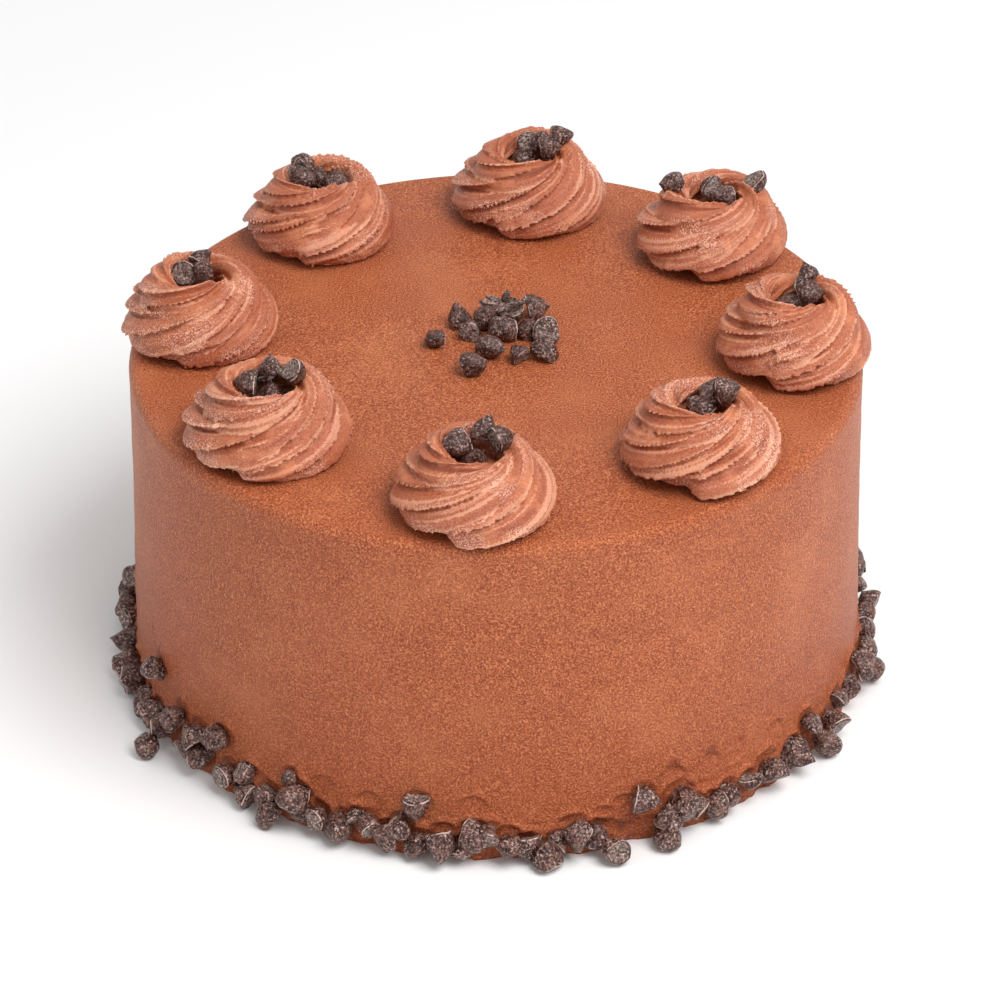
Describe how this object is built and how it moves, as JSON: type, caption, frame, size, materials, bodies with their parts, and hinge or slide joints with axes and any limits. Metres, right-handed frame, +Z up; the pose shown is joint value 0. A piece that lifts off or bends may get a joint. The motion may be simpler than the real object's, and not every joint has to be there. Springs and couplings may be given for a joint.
{
  "type": "layer cake",
  "caption": "Round uncut chocolate layer cake, iced all over, with piped rosettes round its top and chocolate chips on the rosettes, in the middle and round the foot.",
  "frame": {"origin": "middle of the flat underside, on the surface the cake stands on", "axes": "+Z up; -Y towards the front; the cake is round, so X and Y are its two level directions"},
  "size_m": [0.2191, 0.2184, 0.1146],
  "materials": {
    "icing": "soft chocolate buttercream, smoothed with a spatula, fine stippled skin",
    "piped_icing": "soft chocolate buttercream, piped from a star nozzle, rough airy crests",
    "chocolate": "dark chocolate chips, satin with a dusty grey bloom"
  },
  "bodies": {
    "root": {"iced_cake": "icing", "rosette_01": "piped_icing", "rosette_02": "piped_icing", "rosette_03": "piped_icing", "rosette_04": "piped_icing", "rosette_05": "piped_icing", "rosette_06": "piped_icing", "rosette_07": "piped_icing", "rosette_08": "piped_icing", "rosette_chips_01": "chocolate", "rosette_chips_02": "chocolate", "rosette_chips_03": "chocolate", "rosette_chips_04": "chocolate", "rosette_chips_05": "chocolate", "rosette_chips_06": "chocolate", "rosette_chips_07": "chocolate", "rosette_chips_08": "chocolate", "middle_chips": "chocolate", "stray_chip_1": "chocolate", "stray_chip_2": "chocolate", "stray_chip_3": "chocolate", "border_chips_01": "chocolate", "border_chips_02": "chocolate", "border_chips_03": "chocolate", "border_chips_04": "chocolate", "border_chips_05": "chocolate", "border_chips_06": "chocolate", "border_chips_07": "chocolate", "border_chips_08": "chocolate", "border_chips_09": "chocolate", "border_chips_10": "chocolate", "border_chips_11": "chocolate", "border_chips_12": "chocolate"}
  },
  "joints": []
}
